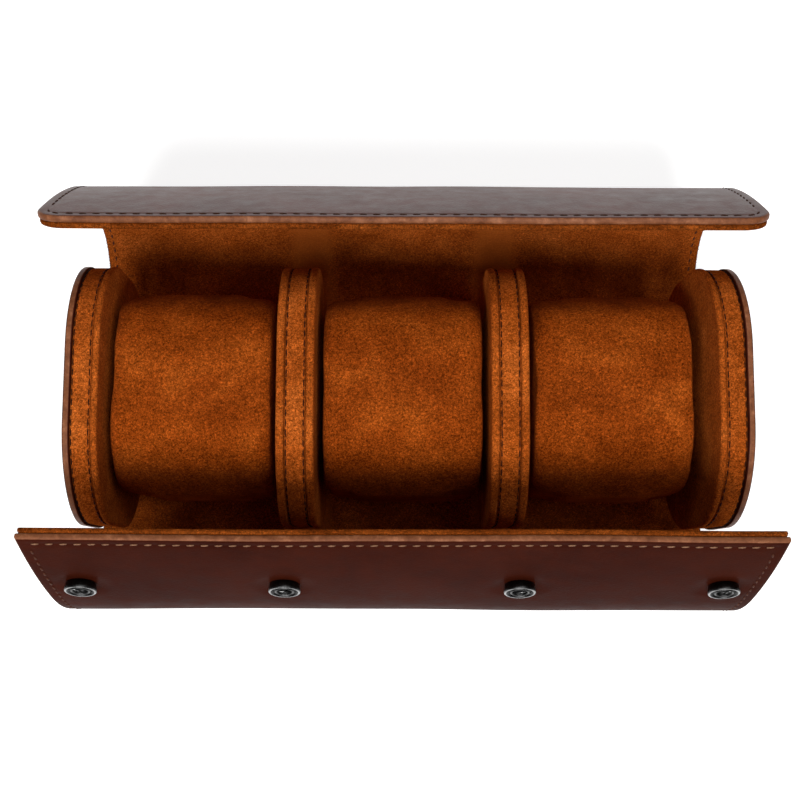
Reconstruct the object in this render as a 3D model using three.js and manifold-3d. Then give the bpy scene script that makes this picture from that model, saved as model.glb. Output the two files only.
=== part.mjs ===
// Three-compartment travel watch roll, standing open.
// A wrap of smooth leather lined with suede lies under a row of two end panels and two dividers,
// rises in front and behind them, and closes over their tops with four snap fasteners. Each of the
// three compartments holds a pillow that a watch is strapped round.
// X runs along the roll, Y from the front flap to the lid, Z up. The origin is on the underside of
// the base, midway between the end panels. Millimetres.
import * as THREE from "three";
import { mergeVertices } from "three/addons/utils/BufferGeometryUtils.js";
import Module from "manifold-3d";

const wasm = await Module();
wasm.setup();

// ---- Driving dimensions ----
const GAP = 0.3; // between two pieces that touch on the real roll
const LEATHER = 2.0; // thickness of the wrap's leather
const LINING = 1.4; // thickness of the wrap's suede lining
const WRAP_OVERHANG = 3.7; // the wrap reaches this far past each end panel
const LINING_SETBACK = 0.5; // the lining stops this far inside the leather's side edges

const PANEL_DEPTH = 80; // end panels and dividers, along Y
const PANEL_HEIGHT = 74;
const PANEL_CORNER = 29;
const PANEL_LEATHER = 2.0; // outer face of an end panel
const PANEL_SUEDE = 2.0; // inner face of an end panel
const END_BOARD = 5.4; // stiffener inside an end panel
const DIVIDER_SUEDE = 2.4; // each face of a divider
const DIVIDER_BOARD = 5.6; // stiffener inside a divider
const STRIP = 1.3; // thickness of the suede strip round a board
const STRIP_RECESS = 0.4; // the strip lies this far below the faces' rims
const COMPARTMENT = 51.2; // clear width between two panels
const RIGHT_LEAN = 2.7; // degrees that the right end panel leans outwards

const PILLOW_SIDE_ROOM = 2.1; // between a pillow's ends and its compartment's sides
const STRAP_ROOM = 9; // a pillow's front and back lie this far inside the panels' rims
const PILLOW_TOP_ROOM = 5.5; // a pillow's top lies this far below the panels' tops
const PILLOW_CORNER = 23;
const PILLOW_COVER = 1.6; // thickness of the suede sleeve and of the end discs

const SNAP_FROM_SIDE = 11.3; // outer snaps to the wrap's side edges
const INNER_SNAP_SPAN = 66; // between the two inner snaps
const SOCKET_FROM_EDGE = 31; // socket centre to the front flap's top edge
const STUD_FROM_EDGE = 7.9; // stud centre to the lid's closing edge
const SNAP_RADIUS = 4.5;
const STUD_RADIUS = 3.9;
const SOCKET_HEIGHT = 2.0; // above the leather
const SOCKET_ROLL = 0.5; // how far a socket's outer rim is rolled over
const RECESS_RADIUS = 2.2; // the hole in a socket that takes a stud's knob
const RECESS_FLOOR = 0.6; // height of a socket's floor above the leather
const RECESS_RING = 0.6; // width of the raised ring round the recess
const RIVET_RADIUS = 1.2; // of the rivets through leather and lining
const FLANGE_RADIUS = 3.5; // of the rivets' hidden heads
const FLANGE = 0.6; // thickness of the hidden heads
const STUD_FLANGE = 0.5; // top of a stud's flange above the lining
const STUD_CHAMFER = 0.4;
const KNOB_HEIGHT = 1.1; // above its flange
const KNOB_CLEARANCE = 0.7; // round a knob in its socket
const LID_CORNER = 8; // radius of the lid's two free corners

// The open wrap's section on each side of the middle, along its outer face.
const FRONT_INSET = 7; // the lower corner starts this far inside the panels' front
const FRONT_CORNER = 38.75;
const FRONT_CORNER_TURN = 74; // degrees
const FRONT_WALL_DROP = 28.2; // the wall's run is this much shorter than the panels
const FRONT_WALL_TURN = 32;
const FRONT_FLAP = 44;
const FRONT_FLAP_TURN = 10;
const BACK_INSET = 3;
const BACK_CORNER = 35.2;
const BACK_CORNER_TURN = 72;
const BACK_WALL_DROP = 27.8;
const BACK_WALL_TURN = 40;
const BACK_FLAP = 45;
const BACK_FLAP_TURN = 10;

// Where each side flexes as it closes: past the panels' level stretch, twice from the end of its
// lower corner, and from the start of its flap.
const FRONT_BENDS = { floor: 9, corner: -3.75, wall: 20.25, flap: -0.55 };
const BACK_BENDS = { floor: 11, corner: -0.2, wall: 19.8, flap: 7.6 };

// Facets: the longest step along the wrap, and how finely round pieces are divided.
const WRAP_STEP = 4.5;
const CORNER_SEGMENTS = 4;
const HOLE_SEGMENTS = 16;
const TURNED_SEGMENTS = 14;
const SAME_PLACE = 1e-4; // vertices closer than this are one

// ---- What follows from them ----
const WRAP = LEATHER + GAP + LINING; // whole thickness of the wrap
const PANEL_BOTTOM = WRAP + GAP;
const PANEL_FLAT = PANEL_DEPTH / 2 - PANEL_CORNER; // half the level stretch of a panel's rim
const END_PANEL = PANEL_LEATHER + END_BOARD + PANEL_SUEDE + 2 * GAP;
const DIVIDER = 2 * DIVIDER_SUEDE + DIVIDER_BOARD + 2 * GAP;
const PITCH = COMPARTMENT + DIVIDER; // from one compartment's middle to the next
const END_INSIDE = PITCH + COMPARTMENT / 2; // an end panel's inner face
const WRAP_WIDTH = 2 * (END_INSIDE + END_PANEL + WRAP_OVERHANG); // the leather, along X
const OUTER_SNAP = WRAP_WIDTH / 2 - SNAP_FROM_SIDE;
const INNER_SNAP = INNER_SNAP_SPAN / 2;
const SNAP_XS = [-OUTER_SNAP, -INNER_SNAP, INNER_SNAP, OUTER_SNAP];
const PILLOW_WIDTH = COMPARTMENT - 2 * PILLOW_SIDE_ROOM; // over its end discs
const PILLOW_DEPTH = PANEL_DEPTH - 2 * STRAP_ROOM;
const PILLOW_HEIGHT = PANEL_HEIGHT - PILLOW_TOP_ROOM;

// One side of the wrap: its runs along the outer face as [length, turn in degrees], and the
// distances along it where it flexes.
function side(direction, runs, bends) {
  const flapStart = total({ runs: runs.slice(0, -1) });
  const cornerEnd = total({ runs: runs.slice(0, 2) });
  const places = [
    PANEL_FLAT + bends.floor,
    cornerEnd + bends.corner,
    cornerEnd + bends.wall,
    flapStart + bends.flap,
  ];
  return { direction, runs, bends: places };
}

function total({ runs }) {
  return runs.reduce((sum, [length]) => sum + length, 0);
}

const FRONT = side(
  -1,
  [
    [PANEL_DEPTH / 2 - FRONT_INSET, 0],
    [FRONT_CORNER, FRONT_CORNER_TURN],
    [PANEL_HEIGHT - FRONT_WALL_DROP, FRONT_WALL_TURN],
    [FRONT_FLAP, FRONT_FLAP_TURN],
  ],
  FRONT_BENDS,
);
const BACK = side(
  1,
  [
    [PANEL_DEPTH / 2 - BACK_INSET, 0],
    [BACK_CORNER, BACK_CORNER_TURN],
    [PANEL_HEIGHT - BACK_WALL_DROP, BACK_WALL_TURN],
    [BACK_FLAP, BACK_FLAP_TURN],
  ],
  BACK_BENDS,
);

// ---- Materials ----
const finish = (color, roughness, metalness) =>
  new THREE.MeshStandardMaterial({ color, roughness, metalness });
const brownLeather = () => finish(0x4a241a, 0.45, 0);
const rustSuede = () => finish(0x9a4512, 0.95, 0);
const pillowSuede = () => finish(0x86390f, 0.95, 0);
const greyBoard = () => finish(0x8c8478, 0.9, 0);
const paleFoam = () => finish(0xd9d2c0, 0.95, 0);
const gunmetal = () => finish(0x4b4b50, 0.3, 1);

// ---- Solids ----
const part = new THREE.Group();

function solid(geometry) {
  const bare = geometry.clone();
  bare.deleteAttribute("normal");
  bare.deleteAttribute("uv");
  const merged = mergeVertices(bare, SAME_PLACE);
  return new wasm.Manifold(
    new wasm.Mesh({
      numProp: 3,
      vertProperties: merged.attributes.position.array,
      triVerts: new Uint32Array(merged.index.array),
    }),
  );
}

function geometryOf(body) {
  const mesh = body.getMesh();
  const geometry = new THREE.BufferGeometry();
  geometry.setAttribute("position", new THREE.BufferAttribute(mesh.vertProperties, 3));
  geometry.setIndex(new THREE.BufferAttribute(mesh.triVerts, 1));
  geometry.computeVertexNormals();
  return geometry;
}

function cut(geometry, cutters) {
  return geometryOf(cutters.reduce((body, cutter) => body.subtract(solid(cutter)), solid(geometry)));
}

function add(parent, name, geometry, material) {
  const mesh = new THREE.Mesh(geometry, material);
  mesh.name = name;
  parent.add(mesh);
  return mesh;
}

// An outline drawn in the Y-Z plane, made solid from x to x + width.
function along(outline, x, width) {
  const geometry = new THREE.ExtrudeGeometry(outline, {
    depth: width,
    bevelEnabled: false,
    curveSegments: CORNER_SEGMENTS,
  });
  const turn = new THREE.Matrix4().makeBasis(
    new THREE.Vector3(0, 1, 0),
    new THREE.Vector3(0, 0, 1),
    new THREE.Vector3(1, 0, 0),
  );
  return geometry.applyMatrix4(turn).translate(x, 0, 0);
}

function roundedRectangle(depth, height, radius, bottom) {
  const [y, top] = [depth / 2, bottom + height];
  const shape = new THREE.Shape();
  shape.moveTo(-y + radius, bottom);
  shape.lineTo(y - radius, bottom);
  shape.absarc(y - radius, bottom + radius, radius, -Math.PI / 2, 0);
  shape.absarc(y - radius, top - radius, radius, 0, Math.PI / 2);
  shape.absarc(-y + radius, top - radius, radius, Math.PI / 2, Math.PI);
  shape.absarc(-y + radius, bottom + radius, radius, Math.PI, 1.5 * Math.PI);
  return shape;
}

function ring(outer, inner) {
  outer.holes.push(inner);
  return outer;
}

// ---- The wrap ----
// The place on the wrap at a distance along its outer face, sunk by depth towards the inside.
function onWrap(side, distance, depth) {
  let [y, z, heading, left] = [0, 0, 0, distance];
  for (const [length, turn] of side.runs) {
    const step = Math.min(left, length);
    const bend = (THREE.MathUtils.degToRad(turn) * step) / length;
    if (turn === 0) {
      y += step;
    } else {
      const radius = length / THREE.MathUtils.degToRad(turn);
      y += radius * (Math.sin(heading + bend) - Math.sin(heading));
      z += radius * (Math.cos(heading) - Math.cos(heading + bend));
    }
    heading += bend;
    left -= step;
    if (left <= 0) break;
  }
  return {
    y: side.direction * (y - depth * Math.sin(heading)),
    z: z + depth * Math.cos(heading),
    heading,
  };
}

// One layer of the wrap between two distances along it.
function layer(side, from, to, outer, inner, width) {
  const steps = Math.max(3, Math.ceil((to - from) / WRAP_STEP));
  const places = Array.from({ length: steps + 1 }, (_, i) => from + ((to - from) * i) / steps);
  const point = (distance, depth) => {
    const { y, z } = onWrap(side, distance, depth);
    return new THREE.Vector2(y, z);
  };
  const outline = places.map((s) => point(s, outer));
  outline.push(...places.reverse().map((s) => point(s, inner)));
  return along(new THREE.Shape(outline), -width / 2, width);
}

function baseLayer(bottom, thickness, width) {
  const [front, back] = [-FRONT.bends[0] + GAP / 2, BACK.bends[0] - GAP / 2];
  const outline = new THREE.Shape();
  outline.moveTo(front, bottom);
  outline.lineTo(back, bottom);
  outline.lineTo(back, bottom + thickness);
  outline.lineTo(front, bottom + thickness);
  return along(outline, -width / 2, width);
}

// Turns a piece made on +Z to stand on the wrap's outer face, sunk by depth; inward turns it over.
function standOn(geometry, side, distance, x, depth, inward = false) {
  const { y, z, heading } = onWrap(side, distance, depth);
  const out = new THREE.Vector3(0, side.direction * Math.sin(heading), -Math.cos(heading));
  const axis = inward ? out.negate() : out;
  const turn = new THREE.Quaternion().setFromUnitVectors(new THREE.Vector3(0, 0, 1), axis);
  return geometry.clone().applyQuaternion(turn).translate(x, y, z);
}

const SOCKET_PLACE = total(FRONT) - SOCKET_FROM_EDGE;
const STUD_PLACE = total(BACK) - STUD_FROM_EDGE;
const LINING_TOP = LEATHER + GAP; // depth of the lining's hidden face

const disc = (radius, bottom, top) =>
  new THREE.CylinderGeometry(radius, radius, top - bottom, HOLE_SEGMENTS)
    .rotateX(Math.PI / 2)
    .translate(0, 0, (bottom + top) / 2);

// Holes through the front leather for the sockets' barrels.
function socketHoles() {
  const hole = disc(RIVET_RADIUS + 3 * GAP, -LEATHER - GAP, GAP);
  return SNAP_XS.map((x) => standOn(hole, FRONT, SOCKET_PLACE, x, 0));
}

// Blind pockets in the front lining for the rivets' heads.
function rivetPockets() {
  const pocket = disc(FLANGE_RADIUS + GAP, -FLANGE - GAP, GAP);
  return SNAP_XS.map((x) => standOn(pocket, FRONT, SOCKET_PLACE, x, LINING_TOP));
}

// Stepped holes in the lid's lining for the studs and their hidden heads.
function studHoles() {
  const pocket = disc(FLANGE_RADIUS + GAP, -FLANGE - GAP, GAP);
  const hole = disc(RIVET_RADIUS + GAP, -LINING - GAP, GAP);
  return SNAP_XS.flatMap((x) =>
    [pocket, hole].map((cutter) => standOn(cutter, BACK, STUD_PLACE, x, LINING_TOP)),
  );
}

// What is cut away to round one free corner of the lid; end is -1 for the left and 1 for the right.
function lidCornerCutter(end, width) {
  const corner = new THREE.Shape();
  corner.moveTo(-LID_CORNER, 0);
  corner.absarc(-LID_CORNER, -LID_CORNER, LID_CORNER, Math.PI / 2, 0, true);
  corner.lineTo(LID_CORNER, -LID_CORNER);
  corner.lineTo(LID_CORNER, LID_CORNER);
  corner.lineTo(-LID_CORNER, LID_CORNER);
  const block = new THREE.ExtrudeGeometry(corner, { depth: 4 * WRAP, bevelEnabled: false });
  block.translate(0, 0, -2 * WRAP);
  if (end < 0) block.rotateY(Math.PI);
  // The outline's upright axis runs along the wrap towards the lid's edge.
  const { y, z, heading } = onWrap(BACK, total(BACK), 0);
  return block.rotateX(heading).translate((end * width) / 2, y, z);
}

function addWrap() {
  const sides = [
    [FRONT, ["front_corner", "front_wall", "front_bend", "front_flap"]],
    [BACK, ["back_corner", "back_wall", "back_bend", "lid"]],
  ];
  const cutters = {
    leather_front_flap: socketHoles,
    lining_front_flap: rivetPockets,
    lining_lid: studHoles,
  };
  const layers = [
    ["leather", 0, LEATHER, WRAP_WIDTH, brownLeather],
    ["lining", LINING_TOP, WRAP, WRAP_WIDTH - 2 * LINING_SETBACK, rustSuede],
  ];
  for (const [material, outer, inner, width, colour] of layers) {
    add(part, `${material}_base`, baseLayer(outer, inner - outer, width), colour());
    for (const [side, names] of sides) {
      const ends = [...side.bends, total(side) + GAP / 2];
      names.forEach((place, i) => {
        const name = `${material}_${place}`;
        const from = ends[i] + GAP / 2;
        const to = ends[i + 1] - GAP / 2;
        const sheet = layer(side, from, to, outer, inner, width);
        const holes = cutters[name] ? cutters[name]() : [];
        if (place === "lid") holes.push(lidCornerCutter(-1, width), lidCornerCutter(1, width));
        add(part, name, holes.length ? cut(sheet, holes) : sheet, colour());
      });
    }
  }
}

// ---- End panels and dividers ----
function panelOutline(inset) {
  return roundedRectangle(
    PANEL_DEPTH - 2 * inset,
    PANEL_HEIGHT - 2 * inset,
    PANEL_CORNER - inset,
    PANEL_BOTTOM + inset,
  );
}

// Faces, board and strip in order along X from x: each face is [name, thickness, material].
function addPanel(parent, name, x, first, board, last) {
  const strip = ring(panelOutline(STRIP_RECESS), panelOutline(STRIP_RECESS + STRIP));
  const boardX = x + first[1] + GAP;
  const lastX = boardX + board + GAP;
  add(parent, `${name}_${first[0]}`, along(panelOutline(0), x, first[1]), first[2]());
  add(parent, `${name}_strip`, along(strip, boardX, board), rustSuede());
  add(
    parent,
    `${name}_board`,
    along(panelOutline(STRIP_RECESS + STRIP + GAP), boardX, board),
    greyBoard(),
  );
  add(parent, `${name}_${last[0]}`, along(panelOutline(0), lastX, last[1]), last[2]());
}

function addPanels() {
  const leather = ["leather", PANEL_LEATHER, brownLeather];
  const suede = ["suede", PANEL_SUEDE, rustSuede];
  addPanel(part, "left_end", -END_INSIDE - END_PANEL, leather, END_BOARD, suede);

  // The right end panel leans out about the lower edge of its outer face.
  const leaning = new THREE.Group();
  const outside = END_INSIDE + END_PANEL;
  leaning.position.set(outside, 0, PANEL_BOTTOM);
  leaning.rotation.y = THREE.MathUtils.degToRad(RIGHT_LEAN);
  const upright = new THREE.Group();
  upright.position.set(-outside, 0, -PANEL_BOTTOM);
  leaning.add(upright);
  part.add(leaning);
  addPanel(upright, "right_end", END_INSIDE, suede, END_BOARD, leather);

  for (const [name, middle] of [
    ["left_divider", -PITCH / 2],
    ["right_divider", PITCH / 2],
  ]) {
    const faces = ["left_face", "right_face"].map((face) => [face, DIVIDER_SUEDE, rustSuede]);
    addPanel(part, name, middle - DIVIDER / 2, faces[0], DIVIDER_BOARD, faces[1]);
  }
}

// ---- Pillows ----
function pillowOutline(inset) {
  return roundedRectangle(
    PILLOW_DEPTH - 2 * inset,
    PILLOW_HEIGHT - 2 * inset,
    PILLOW_CORNER - inset,
    inset,
  );
}

function addPillow(name, x) {
  const pillow = new THREE.Group();
  pillow.position.set(x, 0, PANEL_BOTTOM);
  part.add(pillow);
  const half = PILLOW_WIDTH / 2;
  const inside = half - PILLOW_COVER - GAP;
  const sleeve = ring(pillowOutline(0), pillowOutline(PILLOW_COVER));
  add(pillow, `${name}_sleeve`, along(sleeve, -inside, 2 * inside), pillowSuede());
  const foam = pillowOutline(PILLOW_COVER + GAP);
  add(pillow, `${name}_foam`, along(foam, -inside, 2 * inside), paleFoam());
  add(pillow, `${name}_left_disc`, along(pillowOutline(0), -half, PILLOW_COVER), pillowSuede());
  add(
    pillow,
    `${name}_right_disc`,
    along(pillowOutline(0), half - PILLOW_COVER, PILLOW_COVER),
    pillowSuede(),
  );
}

// ---- Snap fasteners ----
const turned = (profile) =>
  new THREE.LatheGeometry(
    profile.map(([radius, height]) => new THREE.Vector2(radius, height)),
    TURNED_SEGMENTS,
  ).rotateX(Math.PI / 2);

// A ring with a raised inner ring round the recess, and a barrel that goes through the leather.
function socketGeometry() {
  const bore = RIVET_RADIUS + GAP;
  const barrel = bore + GAP;
  return turned([
    [bore, -LEATHER + GAP],
    [barrel, -LEATHER + GAP],
    [barrel, GAP],
    [SNAP_RADIUS, GAP],
    [SNAP_RADIUS, SOCKET_HEIGHT - SOCKET_ROLL],
    [SNAP_RADIUS - SOCKET_ROLL, SOCKET_HEIGHT],
    [SNAP_RADIUS - 2 * SOCKET_ROLL, SOCKET_HEIGHT - SOCKET_ROLL],
    [RECESS_RADIUS + RECESS_RING, SOCKET_HEIGHT - SOCKET_ROLL],
    [RECESS_RADIUS + RECESS_RING / 2, SOCKET_HEIGHT],
    [RECESS_RADIUS, SOCKET_HEIGHT - RECESS_RING / 2],
    [RECESS_RADIUS, RECESS_FLOOR],
    [bore, RECESS_FLOOR],
    [bore, -LEATHER + GAP],
  ]);
}

// A hidden head between leather and lining, with a shank up the socket's barrel.
function rivetGeometry() {
  return turned([
    [0, -FLANGE],
    [FLANGE_RADIUS, -FLANGE],
    [FLANGE_RADIUS, 0],
    [RIVET_RADIUS, 0],
    [RIVET_RADIUS, LEATHER + GAP + RECESS_FLOOR - GAP],
    [0, LEATHER + GAP + RECESS_FLOOR - GAP],
  ]);
}

// A knob on a flange against the lining, and a shank to a hidden head behind the lining.
function studGeometry() {
  const knob = RECESS_RADIUS - KNOB_CLEARANCE;
  return turned([
    [0, -LINING],
    [FLANGE_RADIUS, -LINING],
    [FLANGE_RADIUS, -LINING + FLANGE],
    [RIVET_RADIUS, -LINING + FLANGE],
    [RIVET_RADIUS, GAP],
    [STUD_RADIUS, GAP],
    [STUD_RADIUS - STUD_CHAMFER, STUD_FLANGE],
    [knob, STUD_FLANGE],
    [knob, STUD_FLANGE + KNOB_HEIGHT - STUD_CHAMFER],
    [knob - STUD_CHAMFER, STUD_FLANGE + KNOB_HEIGHT],
    [0, STUD_FLANGE + KNOB_HEIGHT],
  ]);
}

function addSnaps() {
  SNAP_XS.forEach((x, i) => {
    const socket = standOn(socketGeometry(), FRONT, SOCKET_PLACE, x, 0);
    const rivet = standOn(rivetGeometry(), FRONT, SOCKET_PLACE, x, LINING_TOP);
    const stud = standOn(studGeometry(), BACK, STUD_PLACE, x, WRAP, true);
    add(part, `snap_socket_${i + 1}`, socket, gunmetal());
    add(part, `snap_rivet_${i + 1}`, rivet, gunmetal());
    add(part, `snap_stud_${i + 1}`, stud, gunmetal());
  });
}

addWrap();
addPanels();
addPillow("left_pillow", -PITCH);
addPillow("middle_pillow", 0);
addPillow("right_pillow", PITCH);
addSnaps();

export default part;
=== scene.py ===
# %% [markdown]
# # A travel watch roll, standing open
# A sheet of smooth leather, lined with suede, lies under a row of rounded panels and rises in front
# of them and behind them. Between the panels stand three suede pillows. The frame holds the sizes,
# the joints and the hidden pieces. This script cuts, curls, sews and stuffs what a person sees.

# %% Load the frame
import math

import bmesh
import bpy
from mathutils import Matrix, Vector, noise


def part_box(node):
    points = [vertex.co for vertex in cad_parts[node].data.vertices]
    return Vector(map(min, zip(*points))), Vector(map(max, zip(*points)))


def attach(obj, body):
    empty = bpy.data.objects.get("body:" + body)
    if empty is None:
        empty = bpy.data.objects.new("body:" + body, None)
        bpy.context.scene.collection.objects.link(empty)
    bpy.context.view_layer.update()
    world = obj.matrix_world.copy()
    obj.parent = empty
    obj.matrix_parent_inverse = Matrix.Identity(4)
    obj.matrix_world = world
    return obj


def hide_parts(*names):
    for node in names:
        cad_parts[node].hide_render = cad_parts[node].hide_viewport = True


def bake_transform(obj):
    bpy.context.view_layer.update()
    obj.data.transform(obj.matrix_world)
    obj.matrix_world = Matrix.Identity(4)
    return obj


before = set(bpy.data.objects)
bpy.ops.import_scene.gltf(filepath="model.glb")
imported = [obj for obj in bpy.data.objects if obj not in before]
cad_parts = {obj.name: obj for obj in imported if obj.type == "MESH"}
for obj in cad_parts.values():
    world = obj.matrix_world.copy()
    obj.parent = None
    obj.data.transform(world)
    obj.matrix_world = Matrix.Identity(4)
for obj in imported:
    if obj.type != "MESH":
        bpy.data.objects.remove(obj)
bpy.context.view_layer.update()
MM = 0.001
SAME_PLACE = 1e-6  # points closer than this, in metres, are one point
SAME_PLANE = 1e-7

# %% [markdown]
# ## Small helpers
# Every piece is made as a bmesh, in metres, where it stands on the roll. One helper turns it into an
# object with smooth shading and its materials, and one adds shader nodes, so that each material
# below reads as a short recipe.

# %% Helpers
def smooth_faces(mesh):
    mesh.polygons.foreach_set("use_smooth", [True] * len(mesh.polygons))


def make_piece(name, shape, *materials):
    mesh = bpy.data.meshes.new(name)
    shape.to_mesh(mesh)
    shape.free()
    smooth_faces(mesh)
    for material in materials:
        mesh.materials.append(material)
    piece = bpy.data.objects.new(name, mesh)
    bpy.context.scene.collection.objects.link(piece)
    return piece


def repaint(piece, material):
    piece.data.materials.clear()
    piece.data.materials.append(material)


def smoothstep(low, high, value):
    share = min(1.0, max(0.0, (value - low) / (high - low)))
    return share * share * (3 - 2 * share)


def feed(tree, socket, value):
    """Links a socket to another one, or sets it to a number or a colour."""
    if isinstance(value, bpy.types.NodeSocket):
        tree.links.new(value, socket)
    else:
        socket.default_value = (*value, 1) if isinstance(value, tuple) else value


def feed_node(tree, node, **sockets):
    for name, value in sockets.items():
        feed(tree, node.inputs[name.replace("_", " ")], value)


def add_node(tree, kind, settings=None, **sockets):
    made = tree.nodes.new("ShaderNode" + kind)
    for name, value in (settings or {}).items():
        setattr(made, name, value)
    feed_node(tree, made, **sockets)
    return made


def start_material(name, coordinates="Object"):
    material = bpy.data.materials.new(name)
    material.use_nodes = True
    tree = material.node_tree
    place = add_node(tree, "TexCoord").outputs[coordinates]
    return material, tree, tree.nodes["Principled BSDF"], place


def noise_at(tree, place, size, detail=2.0, roughness=0.5, distortion=0.0):
    made = add_node(tree, "TexNoise", Vector=place, Scale=1 / size, Detail=detail, Roughness=roughness)
    feed_node(tree, made, Distortion=distortion)
    return made.outputs["Fac"]


def ramp(tree, factor, *stops):
    """A colour for each value of a factor, from stops of a place and a colour."""
    made = add_node(tree, "ValToRGB", Fac=factor)
    elements = made.color_ramp.elements
    while len(elements) < len(stops):
        elements.new(0.5)
    for element, (position, colour) in zip(elements, stops):
        element.position = position
        element.color = (*colour, 1)
    return made.outputs["Color"]


def grey(value):
    return (value, value, value)


def mix(tree, mode, factor, first, second):
    made = add_node(tree, "Mix", {"data_type": "RGBA", "blend_type": mode})
    for number, value in ((0, factor), (6, first), (7, second)):
        feed(tree, made.inputs[number], value)
    return made.outputs[2]


def vary(tree, colour, factor, *stops):
    """Makes a colour darker and paler by a ramp of greys, given as places and values."""
    greys = ramp(tree, factor, *[(position, grey(value)) for position, value in stops])
    return mix(tree, "MULTIPLY", 1.0, colour, greys)


def math_node(tree, operation, first, second=0.0):
    made = add_node(tree, "Math", {"operation": operation})
    for socket, value in zip(made.inputs, (first, second)):
        feed(tree, socket, value)
    return made.outputs[0]


def bump(tree, shader, height, distance, strength):
    made = add_node(tree, "Bump", Height=height, Distance=distance, Strength=strength)
    tree.links.new(made.outputs["Normal"], shader.inputs["Normal"])


print("helpers ready")

# %% [markdown]
# ## Suede
# Suede is leather brushed on its flesh side. It has no gloss: thousands of short fibres lie in
# patches, and a patch that leans towards the light looks pale while its neighbour looks nearly
# black. Noise makes that at four sizes: patches the width of a finger, a mottle of a few
# millimetres, single grains, and pale curls where a few fibres lie together. Sheen lights the tips.

# %% Suede
def make_suede(name, tones, coordinates="Object", bands=None):
    """Brushed suede in three tones, from its darkest patches to its palest."""
    dark, middle, light = tones
    material, tree, shader, place = start_material(name, coordinates)
    patches = noise_at(tree, place, 15 * MM, 3.0, 0.5, 0.4)
    colour = ramp(tree, patches, (0.30, dark), (0.50, middle), (0.70, light))
    mottle = noise_at(tree, place, 2.2 * MM, 3.0, 0.6)
    colour = vary(tree, colour, mottle, (0.30, 0.86), (0.70, 1.14))
    grains = noise_at(tree, place, 0.56 * MM, 3.0, 0.72, 0.8)
    colour = vary(tree, colour, grains, (0.34, 0.40), (0.50, 0.94), (0.66, 1.80))
    swirl = noise_at(tree, place, 0.95 * MM, 2.0, 0.6, 1.2)
    ridge = math_node(tree, "ABSOLUTE", math_node(tree, "SUBTRACT", swirl, 0.5))
    colour = vary(tree, colour, ridge, (0.0, 1.60), (0.035, 1.04), (0.16, 0.74))
    if bands:
        colour = mix(tree, "MIX", bands(tree, place), colour, light)
    feed_node(tree, shader, Base_Color=colour, Roughness=1.0, Specular_IOR_Level=0.0)
    feed_node(tree, shader, Sheen_Weight=0.10, Sheen_Roughness=0.35, Sheen_Tint=(1.0, 0.26, 0.05))
    height = math_node(tree, "ADD", math_node(tree, "MULTIPLY", mottle, 0.8), grains)
    bump(tree, shader, height, 0.3 * MM, 0.9)
    return material


DIVIDER_CENTRE = (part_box("right_divider_left_face")[0].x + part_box("right_divider_right_face")[1].x) / 2
BAND_HALF, BAND_END = 4.0 * MM, 9.0 * MM  # from a band's middle to where it starts and ends to fade
BAND_STRENGTH = 0.62


def pressed_and_lit_bands(tree, place):
    """How much paler the lining is painted in bands in line with the dividers: partly nap pressed where the
    closed lid rubs on their rims, partly painted light against the dividers' cast shadows.
    """
    across = add_node(tree, "SeparateXYZ", Vector=place).outputs["X"]
    off = math_node(tree, "SUBTRACT", math_node(tree, "ABSOLUTE", across), DIVIDER_CENTRE)
    off = math_node(tree, "ABSOLUTE", off)
    edge = add_node(tree, "MapRange", {"interpolation_type": "SMOOTHSTEP"}, Value=off)
    feed_node(tree, edge, From_Min=BAND_HALF, From_Max=BAND_END, To_Min=BAND_STRENGTH, To_Max=0.0)
    return edge.outputs[0]


RUST = (0.200, 0.039, 0.0045), (0.262, 0.055, 0.0068), (0.345, 0.080, 0.0115)
DEEP_RUST = (0.140, 0.024, 0.0024), (0.190, 0.035, 0.0036), (0.245, 0.050, 0.0055)
RAW_EDGE = (0.085, 0.017, 0.0022), (0.130, 0.028, 0.0037), (0.190, 0.045, 0.0065)
suede = make_suede("rust_suede", RUST)
# The lining's pale bands in line with the dividers are partly pressed nap and partly painted light.
lining_suede = make_suede("lining_suede", RUST, "UV", pressed_and_lit_bands)
pillow_suede = make_suede("pillow_suede", DEEP_RUST)
raw_suede = make_suede("raw_suede", RAW_EDGE)
print("suedes:", suede.name, lining_suede.name, pillow_suede.name, raw_suede.name)

# %% [markdown]
# ## Leather and its edges
# The outside is smooth, waxed cowhide: a very fine pebble, cloudy colour from the dye, and a soft
# gloss that is a little uneven. Lid and flap are one sheet, but the lid's colour is painted paler, as
# painted light for the sheen that its upturned face catches, and the lid shines more than the flap.
# The cut edges were sanded, dyed pale and rubbed until they shone, so they get a material of their own
# instead of a paler stripe in the leather's.

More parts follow.
